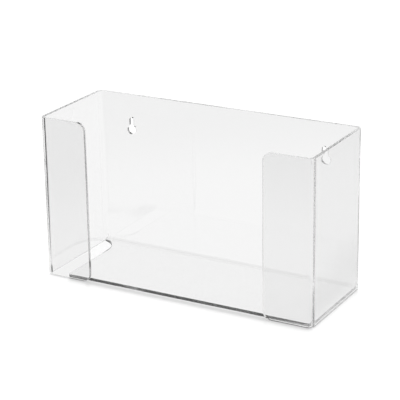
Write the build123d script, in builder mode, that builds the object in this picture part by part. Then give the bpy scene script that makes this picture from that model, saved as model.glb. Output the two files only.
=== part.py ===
"""Dispenser for one carton of disposable gloves, folded from a single sheet of clear acrylic.

The carton drops in from above. Two lips hold its front, and the gap between them is
where the gloves are pulled out. The piece stands on its floor or hangs by two keyholes.

The flat blank is one strip (lip, side wall, back, side wall, lip) with the floor as a flap
below the back. All five folds are hot-wire bends with the same inner radius.
+X runs along the width, +Y towards the back, +Z up, and the origin is the middle of the foot.
"""

from build123d import *
import os
from math import sqrt

# Driving dimensions, in millimetres
width = 268
depth = 100
height = 150
sheet = 3
bend_inner = 3

lip_width = 46.5
lip_corner = 8

floor_setback = 4
floor_corner = 2
saw_kerf = 1

slot_width = 18.5
slot_end_radius = 25

keyhole_spacing = 197
keyhole_height = 116
keyhole_head = 9
keyhole_neck = 4
keyhole_rise = 10
keyhole_shoulder = 3

# Places worked out from them
bend_outer = bend_inner + sheet
side = width / 2
front = -depth / 2
back = depth / 2
lip_edge = side - lip_width

# The floor stops one saw cut short of the side walls, and a whole slot short of the left one.
floor_front = front + floor_setback
floor_right = side - sheet - saw_kerf
floor_left = -side + sheet + slot_width
fold_left = -floor_right
fold_line = back - bend_outer

# The slot's rounded end leaves the floor's left edge and meets the fold beside the left wall.
slot_end_centre = floor_left - slot_end_radius
slot_round_start = fold_line - sqrt(slot_end_radius**2 - (fold_left - slot_end_centre) ** 2)

# The standing strip, seen from above: its outer face with the four upright bends, made 3 mm thick.
with BuildSketch() as wall_strip:
    with BuildLine():
        FilletPolyline(
            (-lip_edge, front),
            (-side, front),
            (-side, back),
            (side, back),
            (side, front),
            (lip_edge, front),
            radius=bend_outer,
        )
        offset(amount=sheet, side=Side.RIGHT)
    make_face()

with BuildPart() as glove_holder:
    # Floor flap: flat as far as the fold line, then a quarter turn up to the foot of the back.
    with BuildSketch(Plane.YZ) as fold_section:
        with BuildLine():
            flat_run = Line((floor_front, 0), (fold_line, 0))
            JernArc(flat_run @ 1, flat_run % 1, bend_outer, 90)
            offset(amount=sheet, side=Side.LEFT)
        make_face()
    extrude(amount=floor_right, both=True)

    # At its two ends the fold keeps inside the upright bends.
    with BuildSketch(Plane.XY) as corner_trim:
        Rectangle(width + 2 * sheet, depth + 2 * sheet)
        RectangleRounded(width, depth, bend_outer, mode=Mode.SUBTRACT)
    extrude(amount=bend_outer, mode=Mode.SUBTRACT)

    # Slot along the left wall, open at the front, with its rounded end running into the corner.
    with BuildSketch(Plane.XY) as floor_slot:
        with BuildLine():
            Polyline(
                (floor_left, slot_round_start),
                (floor_left, front),
                (-side, front),
                (-side, fold_line),
                (fold_left, fold_line),
            )
            RadiusArc((fold_left, fold_line), (floor_left, slot_round_start), slot_end_radius)
        make_face()
    extrude(amount=sheet, mode=Mode.SUBTRACT)
    fillet(glove_holder.edges().filter_by(Axis.Z).group_by(Axis.Y)[0], radius=floor_corner)

    # Above the fold the strip is whole. Below it the back has turned into the floor.
    with BuildSketch(Plane.XY.offset(bend_outer)):
        add(wall_strip.sketch)
    extrude(amount=height - bend_outer)
    with BuildSketch(Plane.XY):
        add(wall_strip.sketch)
        with Locations((0, back)):
            Rectangle(width - 2 * sheet, 2 * bend_outer, mode=Mode.SUBTRACT)
    extrude(amount=bend_outer)

    # Hands and gloves pass the lips, so their free corners are well rounded.
    lip_corners = (
        glove_holder.edges()
        .filter_by(Axis.Y)
        .filter_by_position(Axis.X, -lip_edge, lip_edge)
    )
    fillet(lip_corners, radius=lip_corner)

    # Two keyholes: the screw head passes the round end, and the neck drops onto its shank.
    with BuildSketch(Plane.XZ.offset(-back)) as keyholes:
        with GridLocations(keyhole_spacing, 0, 2, 1):
            with Locations((0, keyhole_height)):
                Circle(keyhole_head / 2)
            with Locations((0, keyhole_height + keyhole_rise / 2)):
                SlotCenterToCenter(keyhole_rise, keyhole_neck, rotation=90)
        fillet(keyholes.vertices().group_by(Axis.Y)[0], radius=keyhole_shoulder)
    extrude(amount=sheet, mode=Mode.SUBTRACT)

glove_holder.part.label = "glove_holder"

os.makedirs("parts", exist_ok=True)
export_step(glove_holder.part, "parts/glove_holder.step")
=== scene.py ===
# %% [markdown]
# # A clear acrylic dispenser for a carton of disposable gloves
#
# The real thing is one flat sheet of clear acrylic, 3 mm thick, that was cut, drilled and bent over
# a hot wire. It is shown standing empty on a white table. Clear plastic has almost no colour of its
# own, so nearly all of its look comes from what it bends and mirrors: the white table and backdrop,
# and the dark parts of the room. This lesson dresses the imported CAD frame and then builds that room.

import math

import bpy
import numpy as np
from mathutils import Matrix, Vector
from mathutils.geometry import delaunay_2d_cdt


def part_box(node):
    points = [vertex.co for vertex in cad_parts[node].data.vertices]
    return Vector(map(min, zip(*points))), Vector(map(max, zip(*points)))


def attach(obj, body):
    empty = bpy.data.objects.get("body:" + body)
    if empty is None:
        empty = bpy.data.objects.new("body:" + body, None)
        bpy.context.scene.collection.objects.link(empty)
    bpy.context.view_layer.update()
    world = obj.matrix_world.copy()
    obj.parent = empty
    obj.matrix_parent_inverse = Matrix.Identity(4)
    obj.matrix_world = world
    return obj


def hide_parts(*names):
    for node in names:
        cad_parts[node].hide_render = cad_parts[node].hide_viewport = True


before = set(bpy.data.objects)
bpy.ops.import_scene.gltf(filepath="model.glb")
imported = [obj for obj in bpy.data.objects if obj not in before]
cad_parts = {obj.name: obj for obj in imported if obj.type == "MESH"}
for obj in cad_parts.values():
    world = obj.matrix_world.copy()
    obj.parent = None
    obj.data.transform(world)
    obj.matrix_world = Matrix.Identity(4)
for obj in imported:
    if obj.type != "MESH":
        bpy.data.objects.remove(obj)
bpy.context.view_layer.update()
scene = bpy.context.scene

# %% [markdown]
# ## Helpers
# Colours are written as sRGB hex values, the way a paint or screen colour is usually quoted, and one
# function turns them into the linear numbers that shaders use. Two more functions start a node tree
# and add a shader node to it.

# %% Colour and node helpers
def linear(hex_colour):
    """sRGB hex to linear RGBA: c/12.92 near black, else ((c + 0.055) / 1.055) ** 2.4."""
    c = np.array([int(hex_colour[i:i + 2], 16) for i in (1, 3, 5)]) / 255
    rgb = np.where(c <= 0.04045, c / 12.92, ((c + 0.055) / 1.055) ** 2.4)
    return (*rgb, 1.0)


def new_tree(owner):
    """An empty node tree on a material or a world."""
    owner.use_nodes = True
    owner.node_tree.nodes.clear()
    return owner.node_tree


def add_node(tree, kind, inputs=None, **settings):
    """Adds a node. An input's value is a number or colour to set, or another node's output to link."""
    node = tree.nodes.new(kind)
    for name, value in settings.items():
        setattr(node, name, value)
    for key, value in (inputs or {}).items():
        if isinstance(value, bpy.types.NodeSocket):
            tree.links.new(value, node.inputs[key])
        else:
            node.inputs[key].default_value = value
    return node


print("half grey in linear terms:", round(linear("#808080")[0], 3))

# %% [markdown]
# ## One folded sheet
# The maker starts from a flat blank: a strip that becomes lip, side, back, side and lip, with a flap
# for the floor. The CAD frame has the same shape with a few flat facets in each bend, and clear
# plastic shows facets, because all the light goes through them. So the sheet is folded again here
# from its blank, with fine, exactly smooth bends and with its cut edges a little rounded, as they are
# after scraping. A subdivision surface could round them too, but it would also pull the flat panels
# out of true.
#
# On the blank, all in millimetres, `along` runs from the left lip's free edge to the right lip's on
# the outer face. `up` is the height, and below 6 mm it goes on as the way along the floor flap.

# %% Sizes of the sheet, in millimetres
metre = 1000
side, back, height = np.round(np.array(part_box("glove_holder")[1]) * metre, 3)
sheet, bend_inner = 3.0, 3.0
lip_width, lip_corner = 46.5, 8.0
slot_width, slot_end_radius = 18.5, 25.0
floor_setback, floor_corner, saw_cut = 4.0, 2.0, 1.0
arris = 0.15  # the scraped round of a cut edge
bend_steps = 18  # in each quarter turn
tiny = 1e-3  # less than any step of the outline

bend_outer = bend_inner + sheet
quarter = math.pi / 2 * bend_outer  # the outer face's way round a bend
flat_x, flat_y = side - bend_outer, back - bend_outer
inner_x = side - sheet
floor_front, floor_left, floor_right = floor_setback - back, slot_width - inner_x, inner_x - saw_cut
print("sheet", sheet, "mm; flats reach", round(flat_x, 2), "and", round(flat_y, 2))
print("floor from x", floor_left, "to", floor_right, "and forward to y", floor_front)

# %% Walk round the standing strip
lip_run = lip_width - bend_outer
runs = [lip_run, quarter, 2 * flat_y, quarter, 2 * flat_x, quarter, 2 * flat_y, quarter, lip_run]
bends = range(1, len(runs), 2)
marks = np.concatenate([[0], np.cumsum(runs)])
length, middle = marks[-1], marks[-1] / 2
bend_centres = np.array([[-flat_x, -flat_y], [-flat_x, flat_y], [flat_x, flat_y], [flat_x, -flat_y]])


def walk(along):
    """Plan point, heading and inward normal on the outer face. The heading starts towards -X and
    turns clockwise by a quarter in each bend, evenly with distance. On a bend the point is
    bend_outer outside the bend's centre; between bends it goes straight on from there."""
    piece = np.clip(np.searchsorted(marks, along, side="right") - 1, 0, len(runs) - 1)
    turned = sum(np.clip((along - marks[i]) / quarter, 0, 1) for i in bends) * math.pi / 2
    heading = np.stack([np.cos(math.pi - turned), np.sin(math.pi - turned)], -1)
    inward = np.stack([heading[:, 1], -heading[:, 0]], -1)
    start = np.where(piece == 0, marks[1], marks[piece])
    straight = np.where(piece % 2 == 0, along - start, 0.0)
    centre = bend_centres[np.clip((piece - 1) // 2, 0, len(bends) - 1)]
    return centre - inward * bend_outer + heading * straight[:, None], heading, inward


print("blank strip", round(length, 1), "mm; bends start at", np.round(marks[bends], 1))

# %% Fold the blank
def smooth(t):
    """3 t^2 - 2 t^3 between 0 and 1."""
    t = np.clip(t, 0, 1)
    return t * t * (3 - 2 * t)


def fold(blank, depth):
    """Blank points, and a depth from 0 on the outer face to 3 on the inner, to points in space.
    The strip is its plan walk, moved inward by the depth, at height `up`. The flap leaves the back at
    a height of bend_outer, turns a quarter round a line at (flat_y, bend_outer) with radius
    bend_outer - depth, then goes straight forward. Near its sides the back already curves forward:
    the flap starts as far forward as that, and eases to flat by the end of its turn. Also gives the
    directions of growing `along`, of growing `up`, and out of the outer face."""
    along, up = blank[:, 0], blank[:, 1]
    on_face, heading, inward = walk(along)
    plan = on_face + inward * np.reshape(depth, (-1, 1))
    zero = np.zeros(len(along))
    standing = np.column_stack([plan, up])
    across = np.column_stack([heading, zero])
    upward = np.column_stack([zero, zero, zero + 1])
    outward = np.column_stack([-inward, zero])

    way = bend_outer - up
    flap = (way > 0) & (np.abs(along - middle) < flap_half + tiny)
    angle = np.clip(way / quarter, 0, 1) * math.pi / 2
    ease = smooth(way / quarter)
    radius = bend_outer - depth
    dip = (1 - ease) * (back - depth - plan[:, 1])
    lying = np.column_stack([plan[:, 0] * (1 - ease) + on_face[:, 0] * ease,
                             flat_y + radius * np.cos(angle) - np.maximum(way - quarter, 0) - dip,
                             bend_outer - radius * np.sin(angle)])
    flap_out = np.column_stack([outward[:, 0] * (1 - ease), np.cos(angle), -np.sin(angle)])
    flap_out /= np.linalg.norm(flap_out, axis=1)[:, None]
    pick = flap[:, None]
    return (np.where(pick, lying, standing),
            np.where(pick, np.column_stack([zero + 1, zero, zero]), across),
            np.where(pick, np.column_stack([zero, np.sin(angle), np.cos(angle)]), upward),
            np.where(pick, flap_out, outward))


def along_at(x):
    """Where a plan x of the back lies on the blank: straight across the flat, then round the bend."""
    over = np.clip(np.abs(x) - flat_x, 0, bend_outer)
    reached = np.minimum(np.abs(x), flat_x) + bend_outer * np.arcsin(over / bend_outer)
    return middle + np.sign(x) * reached


flap_half = along_at(floor_right) - middle
print("the flap is", round(2 * flap_half, 1), "mm wide on the blank")

# %% [markdown]
# ## The cut blank
# A saw or a laser follows the outline of the blank in one go: along the strip's low edge, round the
# floor flap with its slot and its saw cut, then round the lips and back along the top. Each round
# stretch is an arc. Wherever a bend will come, the outline gets a point at each step of that bend,
# so that it can follow the turn.

# %% Where the outline bends
columns = np.concatenate([np.linspace(marks[i], marks[i + 1], bend_steps + 1) for i in bends])
rows = bend_outer - quarter * np.arange(bend_steps + 1) / bend_steps
ear_left, ear_right = along_at(-inner_x), along_at(inner_x)  # the strip's foot ends here
flap_left, flap_right = middle - flap_half, middle + flap_half


def between(low_end, high_end):
    """The bends' columns between two places along the strip."""
    return columns[(columns > low_end + tiny) & (columns < high_end - tiny)]


def level(values, up):
    """Blank points at one height."""
    return np.column_stack([values, np.full(len(values), up)])


def arc(centre, radius, start, end, steps):
    """Points on a circle from one angle to another, in degrees."""
    a = np.radians(np.linspace(start, end, steps + 1))
    return np.column_stack([centre[0] + radius * np.cos(a), centre[1] + radius * np.sin(a)])


def on_flap(points):
    """Floor points (x, y) to the blank: `up` falls by the quarter turn and by the way to the front."""
    return np.column_stack([along_at(points[:, 0]), bend_outer - quarter - (flat_y - points[:, 1])])


print("foot of the back from", round(ear_left, 1), "to", round(ear_right, 1), "mm along the strip")

# %% Floor flap
# The slot's inner end is one arc. It runs smoothly into the slot's side, and meets the flap's side where
# the fold ends.
slot_centre_x = floor_left - slot_end_radius
slot_reach = math.sqrt(slot_end_radius ** 2 - (-floor_right - slot_centre_x) ** 2)
slot_angle = math.degrees(math.asin(slot_reach / slot_end_radius))
slot_centre_y = flat_y - slot_reach
slot_end_steps, floor_corner_steps = 20, 6
slot_end = arc((slot_centre_x, slot_centre_y), slot_end_radius, slot_angle, 0, slot_end_steps)
corner_y = floor_front + floor_corner
front_left = arc((floor_left + floor_corner, corner_y), floor_corner, 180, 270, floor_corner_steps)
front_right = arc((floor_right - floor_corner, corner_y), floor_corner, 270, 360, floor_corner_steps)
print("the slot's round end has its centre at", slot_centre_x, "and", round(slot_centre_y, 1))

# %% Outline of the blank
lip_corner_steps = 14
far, top = length - lip_corner, height - lip_corner
outline = np.concatenate([
    level(between(lip_corner, ear_left), 0),
    [[ear_left, 0]], [[ear_left, bend_outer]],
    level(between(ear_left, flap_left), bend_outer),
    np.column_stack([np.full(bend_steps, flap_left), rows[:-1]]),
    on_flap(slot_end), on_flap(front_left), on_flap(front_right),
    np.column_stack([np.full(bend_steps + 1, flap_right), rows[::-1]]),
    level(between(flap_right, ear_right), bend_outer),
    [[ear_right, bend_outer]], [[ear_right, 0]],
    level(between(ear_right, far), 0),
    arc((far, lip_corner), lip_corner, 270, 360, lip_corner_steps),
    arc((far, top), lip_corner, 0, 90, lip_corner_steps),
    level(columns[::-1], height),
    arc((lip_corner, top), lip_corner, 90, 180, lip_corner_steps),
    arc((lip_corner, lip_corner), lip_corner, 180, 270, lip_corner_steps),
])
print("outline of", len(outline), "points")

# %% [markdown]
# ## Keyholes
# Two keyholes in the back hang the dispenser on a pair of wall screws: a screw's head goes in through
# the round end, and the sheet then drops until the narrow neck holds it. They lie in the flat of the
# back, so they are drawn on the blank at their final size. Half the shape is three arcs, and the other
# half is its mirror image.

# %% Cut the keyholes
keyhole_spacing, keyhole_height, keyhole_rise = 197.0, 116.0, 10.0
head, neck, shoulder = 4.5, 2.0, 3.0  # radii
head_steps, shoulder_steps, neck_steps = 26, 5, 8
touch = math.sqrt((head + shoulder) ** 2 - (neck + shoulder) ** 2)
meets_at = math.degrees(math.atan2(touch, neck + shoulder))


def keyhole(x):
    """A round head, a neck above it with a round top, and two small fillets between them whose
    centres lie at head + shoulder from the head's and neck + shoulder from the middle line."""
    right_side = np.concatenate([
        arc((0, 0), head, -90, meets_at, head_steps),
        arc((neck + shoulder, touch), shoulder, 180 + meets_at, 180, shoulder_steps),
        arc((0, keyhole_rise), neck, 0, 90, neck_steps),
    ])
    left_side = right_side[::-1] * (-1, 1)
    shape = np.concatenate([right_side, left_side[1:-1]])
    return (shape + (middle + x, keyhole_height))[::-1]


def without_repeats(loop):
    """Drops points that repeat the one before."""
    return loop[np.linalg.norm(loop - np.roll(loop, 1, 0), axis=1) > tiny]


loops = [outline, keyhole(-keyhole_spacing / 2), keyhole(keyhole_spacing / 2)]
loops = [without_repeats(loop) for loop in loops]
print("points on the outline and on each keyhole:", [len(loop) for loop in loops])

# %% [markdown]
# ## Skins and rims
# The two big faces of the sheet are one flat triangulation of the blank, folded twice: once on the
# outside and once 3 mm further in. The cut edge is a small profile, round, straight, round, carried
# along every loop of the outline. Its corners get exact normals, so that the round arris runs
# smoothly into the face and the bends refract without facets.

# %% Directions along an outline
def edge_frame(loop):
    """Normals out of the material: one per side of the loop, to the right of its direction, and the
    mitre at each point, (n1 + n2) / (1 + n1.n2), which keeps an inset line parallel to both sides."""
    step = np.roll(loop, -1, 0) - loop
    step /= np.linalg.norm(step, axis=1)[:, None]
    ahead = np.column_stack([step[:, 1], -step[:, 0]])
    behind = np.roll(ahead, 1, 0)
    dot = np.sum(ahead * behind, 1)[:, None]
    return ahead, behind, (ahead + behind) / (1 + dot), dot[:, 0]


def in_space(flat_direction, across, upward):
    """A direction on the blank, turned with the sheet."""
    return flat_direction[:, :1] * across + flat_direction[:, 1:] * upward


edge_points = [loop - arris * edge_frame(loop)[2] for loop in loops]
print("the skins start", arris, "mm in from the cut edge")

# %% Rims
arris_angles = np.radians([0, 30, 60, 90])
sharpest_round = math.cos(math.radians(25))  # where the outline turns by less, its edge is smooth


def rim(loop):
    """The cut edge of one loop as quads. Across the edge the profile is a quarter round of radius
    arris, the straight edge and a second quarter round: inset arris (1 - sin a), depth arris (1 - cos a).
    Gives the quads' corners, their normals and their place on the flat edge."""
    ahead, behind, mitre, dot = edge_frame(loop)
    gentle = (dot > sharpest_round)[:, None]
    mean = ahead + behind
    mean /= np.linalg.norm(mean, axis=1)[:, None]
    sine, cosine = np.sin(arris_angles), np.cos(arris_angles)
    inset = np.concatenate([arris * (1 - sine), arris * (1 - sine[::-1])])
    depth = np.concatenate([arris * (1 - cosine), sheet - arris * (1 - cosine[::-1])])
    lean_out = np.concatenate([cosine, -cosine[::-1]])
    lean_rim = np.concatenate([sine, sine[::-1]])
    lines = []
    for i in range(len(depth)):
        place, across, upward, outward = fold(loop - inset[i] * mitre, np.full(len(loop), depth[i]))
        normal = [in_space(np.where(gentle, mean, n), across, upward) * lean_rim[i] + outward * lean_out[i]
                  for n in (ahead, behind)]
        lines.append((place, *normal))

    sides = np.linalg.norm(np.roll(loop, -1, 0) - loop, axis=1)
    travelled = np.concatenate([[0], np.cumsum(sides)])
    here, there = np.arange(len(loop)), np.roll(np.arange(len(loop)), -1)
    corners, normals, on_edge = [], [], []
    for i in range(len(lines) - 1):
        (p0, a0, b0), (p1, a1, b1) = lines[i], lines[i + 1]
        corners.append(np.stack([p0[here], p0[there], p1[there], p1[here]], 1))
        normals.append(np.stack([a0[here], b0[there], b1[there], a1[here]], 1))
        starts, ends = travelled[:-1], travelled[1:]
        on_edge.append(np.stack([level(starts, depth[i]), level(ends, depth[i]),
                                 level(ends, depth[i + 1]), level(starts, depth[i + 1])], 1))
    return np.concatenate(corners), np.concatenate(normals), np.concatenate(on_edge)


rims = [np.concatenate(part) for part in zip(*[rim(loop) for loop in loops])]
print("rim quads", len(rims[0]))

# %% Creases for the bends
# Triangles must not cut across a step of a bend, so each step is drawn on the blank as a crease. An
# upright one runs from the strip's foot to its top, and over the floor flap it starts a little above
# the fold.
above_fold, short_of_sides = 2.0, 1.0
from_middle = np.abs(columns - middle)
ear_half = ear_right - middle
foot = np.where(from_middle < ear_half + tiny, bend_outer + above_fold, arris)
beside_flap = (from_middle > flap_half) & (from_middle < ear_half - tiny)
foot = np.where(beside_flap, bend_outer + arris, foot)


def across_flap(up, margin):
    """Both ends of a crease across the flap, at each height and this far in from its sides."""
    return np.stack([np.column_stack([np.full(len(up), flap_left + margin), up]),
                     np.column_stack([np.full(len(up), flap_right - margin), up])], 1)


crease_ends = np.concatenate([
    np.stack([np.column_stack([columns, foot]), level(columns, height - arris)], 1),
    across_flap(rows[1:-1], arris),
    across_flap(rows[[0, -1]], short_of_sides),
])
print("creases", len(crease_ends))

# %% Triangles on the blank
ring_starts = np.concatenate([[0], np.cumsum([len(ring) for ring in edge_points])])
ring_points = np.concatenate(edge_points)
ring_sides = np.concatenate([
    np.column_stack([np.arange(len(ring)), np.roll(np.arange(len(ring)), -1)]) + start
    for ring, start in zip(edge_points, ring_starts)])
creases = np.arange(len(crease_ends) * 2).reshape(-1, 2) + len(ring_points)
asked = np.concatenate([ring_points, crease_ends.reshape(-1, 2)])
same_point = 1e-4
found, _, triangles, origins, _, _ = delaunay_2d_cdt(
    [Vector(p) for p in asked], np.concatenate([ring_sides, creases]).tolist(), [], 0, same_point)
# A Vector holds single precision, so a point that was asked for goes back to its exact place.
blank = np.array(found)
known = np.array([min(o) if o else -1 for o in origins])
blank = np.where((known >= 0)[:, None], asked[np.maximum(known, 0)], blank)
triangles = np.array([t for t in triangles if len(t) == 3])


def inside(spots, rings):
    """Whether each spot lies in the material: a ray to +along crosses the rings an odd number of times."""
    crossings = np.zeros(len(spots), int)
    least_rise = 1e-12  # of a level side, so that nothing is divided by zero
    for ring in rings:
        a, b = ring, np.roll(ring, -1, 0)
        spans = (a[None, :, 1] > spots[:, None, 1]) != (b[None, :, 1] > spots[:, None, 1])
        rise = b[:, 1] - a[:, 1]
        rise = np.where(np.abs(rise) < least_rise, least_rise, rise)
        x = a[None, :, 0] + (spots[:, None, 1] - a[None, :, 1]) / rise[None] * (b - a)[None, :, 0]
        crossings += np.sum(spans & (x > spots[:, None, 0]), 1)
    return crossings % 2 == 1


triangles = triangles[inside(blank[triangles].mean(1), edge_points)]
print("triangles on one face", len(triangles))

# %% Fold both skins
def skin(depth, turn_over):
    """One face of the sheet: the blank's triangles folded at one depth, with exact normals. Gives the
    triangles' corners, their normals and their place on the blank."""
    place, _, _, outward = fold(blank, np.full(len(blank), float(depth)))
    order = triangles[:, ::-1] if turn_over else triangles
    return place[order], (outward if turn_over else -outward)[order], blank[order]


outer, inner = skin(0, True), skin(sheet, False)
print("skin corners", outer[0].size // 3, "and", inner[0].size // 3)

# %% Join the parts into one closed mesh
# Corners that meet become one vertex, and each face keeps its own normals and its own place in the
# UV map `blank`, on which 1 unit is 100 mm of the flat sheet.
corner_digits = 4  # of a millimetre
uv_unit = 100
face_corners, face_normals, face_sheet = (
    np.concatenate([outer[i].reshape(-1, size), inner[i].reshape(-1, size), rims[i].reshape(-1, size)])
    for i, size in enumerate((3, 3, 2)))
face_normals /= np.linalg.norm(face_normals, axis=1)[:, None]
_, first, vertex_of = np.unique(np.round(face_corners, corner_digits), axis=0,
                                return_index=True, return_inverse=True)
vertex_of = vertex_of.reshape(-1)
skin_faces = len(outer[0]) + len(inner[0])
faces = (vertex_of[:skin_faces * 3].reshape(-1, 3).tolist()
         + vertex_of[skin_faces * 3:].reshape(-1, 4).tolist())
sheet_mesh = bpy.data.meshes.new("folded_sheet")
sheet_mesh.from_pydata((face_corners[first] / metre).tolist(), [], faces)
sheet_uv = sheet_mesh.uv_layers.new(name="blank")
sheet_uv.data.foreach_set("uv", (face_sheet / uv_unit).astype(np.float32).ravel())
sheet_mesh.shade_smooth()
sheet_mesh.normals_split_custom_set(face_normals.tolist())
material_of = np.concatenate([np.zeros(skin_faces, np.int32), np.ones(len(rims[0]), np.int32)])
sheet_mesh.polygons.foreach_set("material_index", material_of)
folded_sheet = bpy.data.objects.new("folded_sheet", sheet_mesh)
scene.collection.objects.link(folded_sheet)
print("folded sheet:", len(sheet_mesh.vertices), "vertices,", len(sheet_mesh.polygons), "faces")

# %% [markdown]
# ## Clear cast acrylic
# Cast acrylic is poured between two sheets of polished glass, so its faces are as smooth as that
# glass, and it bends light with an IOR of 1.49. Two things keep them from looking computed: the
# casting leaves a long, very low wave in the sheet, and handling leaves a few hairline scuffs. Both
# follow the flat blank, so they run on round the bends. A trace of grey goes on the base colour: it
# counts once per pane, so the light that runs far along inside the sheet stays bright.
#
# A renderer gives glass a shadow as black as a brick's. Clear sheet really lets nearly all light
# by, so for shadow rays alone the faces are plain transparent.

# %% Faces
acrylic_ior = 1.49
clear = linear("#f6f6f6")
face = bpy.data.materials.new("clear_cast_acrylic")
tree = new_tree(face)
on_blank = add_node(tree, "ShaderNodeUVMap", uv_map="blank").outputs["UV"]

# Waves about 40 mm long and 0.1 mm high, which move reflections a little and bend no straight line.
waves = add_node(tree, "ShaderNodeTexNoise", {
    "Vector": on_blank, "Scale": uv_unit / 40, "Detail": 1.0}).outputs["Fac"]
wavy = add_node(tree, "ShaderNodeBump", {
    "Height": waves, "Strength": 1.0, "Distance": 0.12 / metre}).outputs["Normal"]

# Hairline scuffs: noise stretched 50 to 1, of which only the peaks show, in two directions. A real
# one is 0.1 mm wide and would be lost, so these are drawn 1 to 2 mm wide and very faint.
scuff_lines = []
for turn, shift in ((0.35, 1.0), (-0.9, 7.0)):
    stretched = add_node(tree, "ShaderNodeMapping", {
        "Vector": on_blank,
        "Location": (shift, shift, 0.0),
        "Rotation": (0.0, 0.0, turn),
        "Scale": (1.2, 60.0, 1.0),
    }).outputs["Vector"]
    streak = add_node(tree, "ShaderNodeTexNoise", {
        "Vector": stretched, "Scale": 1.0, "Detail": 0.0}).outputs["Fac"]
    scuff_lines.append(add_node(tree, "ShaderNodeMapRange", {
        "Value": streak, "From Min": 0.74, "From Max": 0.80, "To Min": 0.0, "To Max": 0.12,
    }).outputs["Result"])
scuffs = add_node(tree, "ShaderNodeMath", {0: scuff_lines[0], 1: scuff_lines[1]},
                  operation="MAXIMUM").outputs["Value"]

polished = add_node(tree, "ShaderNodeBsdfPrincipled", {
    "Base Color": clear,
    "Roughness": scuffs,
    "IOR": acrylic_ior,
    "Transmission Weight": 1.0,
    "Normal": wavy,
}).outputs["BSDF"]
lets_by = add_node(tree, "ShaderNodeBsdfTransparent", {"Color": linear("#ffffff")}).outputs["BSDF"]
shadow_ray = add_node(tree, "ShaderNodeLightPath").outputs["Is Shadow Ray"]
pane = add_node(tree, "ShaderNodeMixShader", {0: shadow_ray, 1: polished, 2: lets_by}).outputs["Shader"]
add_node(tree, "ShaderNodeOutputMaterial", {"Surface": pane})
sheet_mesh.materials.append(face)
print(face.name, "has", len(tree.nodes), "nodes")

# %% [markdown]
# ## Cut edges
# The blank is sawn or cut by laser, its edges are scraped, and a flame is passed over them until they
# gloss. That leaves them clear, with a fine ripple across the edge from the cutter and patches that
# the flame missed, which stay satin. They are the darkest and crispest lines of the object, because
# a cut edge shows the far end of the sheet from inside. The left lip's free edge is darker still,
# towards its foot: painted shade in its base colour stands in for the dark line that edge shows.
#
# Light that enters a cut edge is led away, so the low rims next to the table do cast a shadow. Those
# higher up, and those round the slot, are left out of it: their shadow is spread too thin to see.

# %% Gloss and smoke of the cut edges
cut_edge = bpy.data.materials.new("flame_polished_acrylic_edge")
tree = new_tree(cut_edge)
on_blank = add_node(tree, "ShaderNodeUVMap", uv_map="blank").outputs["UV"]
whole_place = add_node(tree, "ShaderNodeTexCoord").outputs["Object"]
place = add_node(tree, "ShaderNodeSeparateXYZ", {"Vector": whole_place}).outputs

# Cutter marks are 0.2 mm apart. Ripples of 1.25 mm are the finest that show.
cutter_marks = add_node(tree, "ShaderNodeTexNoise", {
    "Vector": on_blank, "Scale": uv_unit / 1.25, "Detail": 2.0}).outputs["Fac"]
rippled = add_node(tree, "ShaderNodeBump", {
    "Height": cutter_marks, "Strength": 1.0, "Distance": 0.01 / metre}).outputs["Normal"]
missed_by_flame = add_node(tree, "ShaderNodeTexNoise", {
    "Vector": on_blank, "Scale": 6.0, "Detail": 3.0}).outputs["Fac"]
satin = add_node(tree, "ShaderNodeMapRange", {
    "Value": missed_by_flame, "From Min": 0.4, "From Max": 0.7, "To Min": 0.02, "To Max": 0.1,
}).outputs["Result"]

# Painted shade: the left lip's free edge and the start of its round corners are darkened, most at the
# foot.
shaded_edge_x, shaded_edge_reach = (lip_width - side - 0.5) / metre, 0.001
on_left_lip = add_node(tree, "ShaderNodeMath", {0: place["X"], 1: shaded_edge_x, 2: shaded_edge_reach},
                       operation="COMPARE").outputs["Value"]
# The painted shade is darkest at the foot of the edge and gone at its top.
painted_shade = add_node(tree, "ShaderNodeMapRange", {
    "Value": place["Z"], "From Min": lip_corner / metre, "From Max": (height - lip_corner) / metre,
    "To Min": linear("#7c7c7c")[0], "To Max": clear[0],
}).outputs["Result"]
clarity = add_node(tree, "ShaderNodeMix", {0: on_left_lip, 2: clear[0], 3: painted_shade},
                   data_type="FLOAT").outputs[0]
flamed = add_node(tree, "ShaderNodeBsdfPrincipled", {
    "Base Color": clarity,
    "Roughness": satin,
    "IOR": acrylic_ior,
    "Transmission Weight": 1.0,
    "Normal": rippled,
}).outputs["BSDF"]
print("smoke on the edge at x", shaded_edge_x, "m")

# %% Shadow of the cut edges
# Each pair is where a change starts and ends: above the floor's rims, to the right of the slot, and
# behind the floor's front edge.
above_floor = (sheet + 0.5) / metre, (sheet + 1.0) / metre
right_of_slot = (floor_left + 7.5) / metre, (floor_left + 12.5) / metre
behind_front = (floor_front + 0.5) / metre, (floor_front + 1.5) / metre
high_up = add_node(tree, "ShaderNodeMapRange", {
    "Value": place["Z"], "From Min": above_floor[0], "From Max": above_floor[1],
}).outputs["Result"]
by_slot = add_node(tree, "ShaderNodeMapRange", {
    "Value": place["X"], "From Min": right_of_slot[0], "From Max": right_of_slot[1],
    "To Min": 1.0, "To Max": 0.0,
}).outputs["Result"]
off_front = add_node(tree, "ShaderNodeMapRange", {
    "Value": place["Y"], "From Min": behind_front[0], "From Max": behind_front[1],
}).outputs["Result"]
slot_rim = add_node(tree, "ShaderNodeMath", {0: by_slot, 1: off_front},
                    operation="MULTIPLY").outputs["Value"]
open_rim = add_node(tree, "ShaderNodeMath", {0: slot_rim, 1: high_up},
                    operation="MAXIMUM").outputs["Value"]
lets_by = add_node(tree, "ShaderNodeBsdfTransparent", {"Color": open_rim}).outputs["BSDF"]
shadow_ray = add_node(tree, "ShaderNodeLightPath").outputs["Is Shadow Ray"]
rim_surface = add_node(tree, "ShaderNodeMixShader", {
    0: shadow_ray, 1: flamed, 2: lets_by}).outputs["Shader"]
add_node(tree, "ShaderNodeOutputMaterial", {"Surface": rim_surface})
sheet_mesh.materials.append(cut_edge)
print(cut_edge.name, "has", len(tree.nodes), "nodes")

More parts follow.
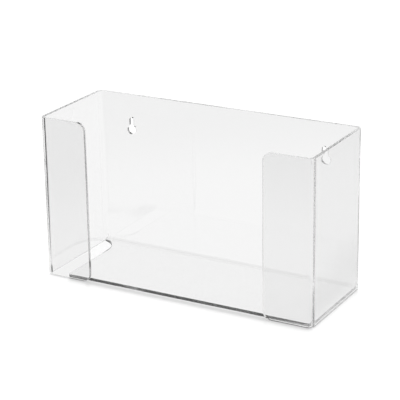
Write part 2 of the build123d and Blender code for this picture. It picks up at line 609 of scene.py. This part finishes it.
# %% [markdown]
# ## In the frame
# The folded sheet takes the place of the CAD body, which would show its facets, and rides on the one
# body that there is, because nothing on this object moves.

# %% Put the sheet in the frame
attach(folded_sheet, "root")
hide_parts("glove_holder")
print("materials", [m.name for m in sheet_mesh.materials])

# %% [markdown]
# ## The white table
# The table is plain white, and it is part of the stage, not of the object. Clear sheet has hardly
# any look of its own, so the table needs two: one for the eye and one for the sheet.
#
# - Straight to the camera it is white, part of it lit and part of it glowing, and it keeps the
#   object's shadow. Light that bounced off it before it met the sheet counts as straight too.
# - Through the sheet it is white as well. Mirrored by the sheet, outside or inside, it is white close
#   by and behind, and goes dark towards the front, as a small table in a dark room does. A wedge that
#   opens to the left from the front left corner is dark too. The bends catch that dark, and it draws
#   them.
# - Six places on it are less white: under the floor panel and under the right wall's rim, which the
#   object itself shades, beside the front left corner, along the right wall, far off to the right and
#   behind, and in a thin ring under the slot's round end.

# %% Table
half, just_below = 4.0, -0.0002
corners = [(-half, -half, 0), (half, -half, 0), (half, half, 0), (-half, half, 0)]
table_mesh = bpy.data.meshes.new("table")
table_mesh.from_pydata(corners, [], [(0, 1, 2, 3)])
table_mesh.transform(Matrix.Translation((0, 0, just_below)))
table = bpy.data.objects.new("table", table_mesh)
scene.collection.objects.link(table)
print("table", 2 * half, "m square")

# %% The table in the sheet's reflections
# A round pool of white, which goes dim from its edge outwards, except towards the backdrop. All of
# these are in metres.
pool_centre, pool_edge, pool_end, dim_white = (0.10, 0.16, 0.0), 0.36, 0.62, 0.4
table_white = bpy.data.materials.new("white_table_top")
tree = new_tree(table_white)
path = add_node(tree, "ShaderNodeLightPath").outputs
whole_place = add_node(tree, "ShaderNodeTexCoord").outputs["Object"]
place = add_node(tree, "ShaderNodeSeparateXYZ", {"Vector": whole_place}).outputs

reach = add_node(tree, "ShaderNodeVectorMath", {0: whole_place, 1: pool_centre},
                 operation="DISTANCE").outputs["Value"]
pool = add_node(tree, "ShaderNodeMapRange", {
    "Value": reach, "From Min": pool_edge, "From Max": pool_end, "To Min": 1.0, "To Max": dim_white,
}, interpolation_type="SMOOTHSTEP").outputs["Result"]
backdrop_side = add_node(tree, "ShaderNodeMapRange", {
    "Value": place["Y"], "From Min": 0.0, "From Max": 0.15,
}, interpolation_type="SMOOTHSTEP").outputs["Result"]
room_light = add_node(tree, "ShaderNodeMath", {0: pool, 1: backdrop_side},
                      operation="MAXIMUM").outputs["Value"]
print("mirrored, the table is white near the object and", dim_white, "of white far to the front")

# %% The dark wedge
# It lies between two lines from the front left corner, (-0.134, -0.05): one straight to the left, and
# one that goes 0.8 to the left for each 1 back, on which X + 0.8 Y is -0.174. It is full from 50 mm
# behind the first and 20 mm left of the second.
lean_left, wedge_dark, wedge_end, wedge_white = 0.8, -0.194, -0.174, 0.02
across_wedge = add_node(tree, "ShaderNodeMath", {0: place["Y"], 1: lean_left, 2: place["X"]},
                        operation="MULTIPLY_ADD").outputs["Value"]
right_of_wedge = add_node(tree, "ShaderNodeMapRange", {
    "Value": across_wedge, "From Min": wedge_dark, "From Max": wedge_end,
}, interpolation_type="SMOOTHSTEP").outputs["Result"]
in_front = add_node(tree, "ShaderNodeMapRange", {
    "Value": place["Y"], "From Min": -0.05, "From Max": 0.0, "To Min": 1.0, "To Max": 0.0,
}, interpolation_type="SMOOTHSTEP").outputs["Result"]
off_wedge = add_node(tree, "ShaderNodeMath", {0: right_of_wedge, 1: in_front},
                     operation="MAXIMUM").outputs["Value"]
wedge = add_node(tree, "ShaderNodeMapRange", {
    "Value": off_wedge, "To Min": wedge_white, "To Max": 1.0}).outputs["Result"]
room_light = add_node(tree, "ShaderNodeMath", {0: room_light, 1: wedge},
                      operation="MULTIPLY").outputs["Value"]
print("in the wedge it is", wedge_white, "of white")

# %% Patches of shade
# Each patch, in metres: X where it starts, is full, stays full until and ends; the same for Y; how
# white it is; and which rays find it. In order: under the floor panel, under the right wall's rim,
# beside the front left corner, along the right wall, and far off to the right and behind.
whiteness = {"mirrored": room_light, "straight": 1.0}
every_ray, only_mirrored = ("mirrored", "straight"), ("mirrored",)
shaded_patches = (
    ((-0.1305, -0.1301, 0.1301, 0.1305), (-0.0507, -0.0503, 0.0503, 0.0507), 0.955, every_ray),
    ((0.1302, 0.1306, 0.1342, 0.1346), (-0.0507, -0.0503, 0.0503, 0.0507), 0.60, every_ray),
    ((-0.1560, -0.1480, -0.1360, -0.1345), (-0.0560, -0.0520, -0.0350, -0.0100), 0.20, only_mirrored),
    ((0.1340, 0.1500, 0.1550, 0.2050), (-0.3000, -0.2000, 0.2000, 0.3000), 0.70, only_mirrored),
    ((0.1340, 0.1900, 5.0000, 6.0000), (0.0500, 0.1200, 5.0000, 6.0000), 0.87, only_mirrored),
)
for across_x, across_y, white, found_by in shaded_patches:
    inside_patch = 1.0
    for axis, (starts, full, until, ends) in (("X", across_x), ("Y", across_y)):
        rises = add_node(tree, "ShaderNodeMapRange", {
            "Value": place[axis], "From Min": starts, "From Max": full,
        }, interpolation_type="SMOOTHSTEP").outputs["Result"]
        falls = add_node(tree, "ShaderNodeMapRange", {
            "Value": place[axis], "From Min": until, "From Max": ends, "To Min": 1.0, "To Max": 0.0,
        }, interpolation_type="SMOOTHSTEP").outputs["Result"]
        for step in (rises, falls):
            inside_patch = add_node(tree, "ShaderNodeMath", {0: inside_patch, 1: step},
                                    operation="MULTIPLY").outputs["Value"]
    shade = add_node(tree, "ShaderNodeMapRange", {
        "Value": inside_patch, "To Min": 1.0, "To Max": white}).outputs["Result"]
    for rays in found_by:
        whiteness[rays] = add_node(tree, "ShaderNodeMath", {0: whiteness[rays], 1: shade},
                                   operation="MULTIPLY").outputs["Value"]
print("patches of shade:", len(shaded_patches))

# %% The ring under the slot's round end
slot_centre = (slot_centre_x / metre, slot_centre_y / metre, 0.0)
ring_radius, ring_half_width, ring_white = (slot_end_radius + 0.8) / metre, 0.0010, 0.1
from_centre = add_node(tree, "ShaderNodeVectorMath", {0: whole_place, 1: slot_centre},
                       operation="DISTANCE").outputs["Value"]
on_ring = add_node(tree, "ShaderNodeMath", {0: from_centre, 1: ring_radius, 2: ring_half_width},
                   operation="COMPARE").outputs["Value"]
round_end = add_node(tree, "ShaderNodeMapRange", {
    "Value": place["Y"], "From Min": 0.012, "From Max": 0.020}).outputs["Result"]
ring = add_node(tree, "ShaderNodeMath", {0: on_ring, 1: round_end}, operation="MULTIPLY").outputs["Value"]
shade = add_node(tree, "ShaderNodeMapRange", {
    "Value": ring, "To Min": 1.0, "To Max": ring_white}).outputs["Result"]
whiteness["mirrored"] = add_node(tree, "ShaderNodeMath", {0: whiteness["mirrored"], 1: shade},
                                 operation="MULTIPLY").outputs["Value"]
print("a ring of shade", ring_radius, "m round", [round(v, 4) for v in slot_centre])

# %% Both looks of the table
# A ray that the sheet has mirrored finds the pool, the wedge and all the shade. One that only passed
# through the sheet finds white and the first two patches. Both looks glow by themselves.
mirrored = add_node(tree, "ShaderNodeMath", {0: path["Glossy Depth"], 1: 1.0},
                    operation="MINIMUM").outputs["Value"]
seen_in_sheet = add_node(tree, "ShaderNodeMix", {
    0: mirrored, 2: whiteness["straight"], 3: whiteness["mirrored"]}, data_type="FLOAT").outputs[0]
in_sheet = add_node(tree, "ShaderNodeEmission", {"Strength": seen_in_sheet}).outputs["Emission"]

# To the camera, a little over half of the white is lit and the rest glows, which sets how deep the
# shadows are.
straight = add_node(tree, "ShaderNodeMath", {0: path["Is Camera Ray"], 1: path["Diffuse Depth"]},
                    operation="MAXIMUM").outputs["Value"]
lit = add_node(tree, "ShaderNodeBsdfDiffuse", {"Color": linear("#959595")}).outputs["BSDF"]
glow = add_node(tree, "ShaderNodeEmission", {"Strength": 0.47}).outputs["Emission"]
shadowed = add_node(tree, "ShaderNodeAddShader", {0: lit, 1: glow}).outputs["Shader"]
table_look = add_node(tree, "ShaderNodeMixShader", {
    0: straight, 1: in_sheet, 2: shadowed}).outputs["Shader"]
add_node(tree, "ShaderNodeOutputMaterial", {"Surface": table_look})
table_mesh.materials.append(table_white)
print(table_white.name, "has", len(tree.nodes), "nodes")

# %% [markdown]
# ## The room
# The world is white to the camera and to the table, which makes soft light from all sides. Rays that
# the sheet has mirrored find a white band round the horizon and a dark ceiling. Light that enters the
# floor panel's front edge runs back inside the sheet, up the back and out at its top rim: the dark
# ceiling is why that one edge is nearly black.
#
# One broad, soft lamp low behind the object on its left gives the short contact shadow in front of
# the floor panel's edge and along the right wall. It is far off, so its light comes in parallel. It
# would show in the sheet as a glare, so it is hidden from what the sheet mirrors and lets through.

# %% World
# Generated is the direction of the ray here, so its Z is the sine of the height above the horizon.
ceiling_starts, ceiling_full, ceiling_white = 0.39, 0.5, 0.02
world = bpy.data.worlds.new("studio")
scene.world = world
tree = new_tree(world)
path = add_node(tree, "ShaderNodeLightPath").outputs
direction = add_node(tree, "ShaderNodeTexCoord").outputs["Generated"]
upward = add_node(tree, "ShaderNodeSeparateXYZ", {"Vector": direction}).outputs["Z"]
ceiling = add_node(tree, "ShaderNodeMapRange", {
    "Value": upward, "From Min": ceiling_starts, "From Max": ceiling_full,
    "To Min": 1.0, "To Max": ceiling_white,
}, interpolation_type="SMOOTHSTEP").outputs["Result"]
mirrored = add_node(tree, "ShaderNodeMath", {0: path["Glossy Depth"], 1: path["Diffuse Depth"]},
                    operation="SUBTRACT", use_clamp=True).outputs["Value"]
strength = add_node(tree, "ShaderNodeMix", {0: mirrored, 2: 1.0, 3: ceiling},
                    data_type="FLOAT").outputs[0]
background = add_node(tree, "ShaderNodeBackground", {
    "Color": linear("#ffffff"), "Strength": strength}).outputs["Background"]
add_node(tree, "ShaderNodeOutputWorld", {"Surface": background})
print("the ceiling starts", round(math.degrees(math.asin(ceiling_starts))), "degrees up")

# %% Lamp
lamp_up, lamp_left_of_behind = 18, 25
lamp_data = bpy.data.lights.new("low_soft_back_lamp", "SUN")
lamp_data.energy = 11.0
lamp_data.angle = math.radians(20)
lamp = bpy.data.objects.new("low_soft_back_lamp", lamp_data)
scene.collection.objects.link(lamp)
lamp.rotation_euler = (math.radians(90 - lamp_up), 0, math.radians(180 + lamp_left_of_behind))
lamp.visible_glossy = lamp.visible_transmission = False
print("lamp", lamp_up, "degrees up,", lamp_left_of_behind, "degrees left of straight behind")

# %% [markdown]
# ## The camera
# The camera looks down by 20 degrees from 29 degrees to the right of the front, through a long lens,
# so that the box shows its front, its right side and a little of its floor with hardly any taper.

# %% Camera
azimuth, elevation, roll = (math.radians(a) for a in (29.42, 19.89, 0.94))
camera_place = (0.6491, -1.1510, 0.5556)
focal_pixels, picture_pixels = 1582.0, 400
level_out = math.cos(elevation)
towards = np.array([math.sin(azimuth) * level_out, -math.cos(azimuth) * level_out, math.sin(elevation)])
sideways = np.array([math.cos(azimuth), math.sin(azimuth), 0.0])
unrolled = np.array([sideways, np.cross(towards, sideways), towards])
cosine, sine = math.cos(roll), math.sin(roll)
turned = np.array([[cosine, -sine, 0], [sine, cosine, 0], [0, 0, 1]]) @ unrolled

camera_data = bpy.data.cameras.new("camera")
camera_data.sensor_width = 36.0
camera_data.lens = focal_pixels / picture_pixels * camera_data.sensor_width
camera_data.clip_start = 0.01
camera = bpy.data.objects.new("camera", camera_data)
scene.collection.objects.link(camera)
camera_matrix = np.eye(4)
camera_matrix[:3, :3] = turned.T
camera_matrix[:3, 3] = camera_place
camera.matrix_world = Matrix(camera_matrix.tolist())
scene.camera = camera
print("camera at", camera_place, "with a lens of", round(camera_data.lens, 1), "mm")

# %% View and bounces
# Light that is caught inside the sheet is mirrored dozens of times before it comes out at an edge.
bounces = 96
scene.view_settings.view_transform = "Standard"
scene.cycles.max_bounces = bounces
scene.cycles.glossy_bounces = bounces
scene.cycles.transmission_bounces = bounces
print("up to", bounces, "bounces")
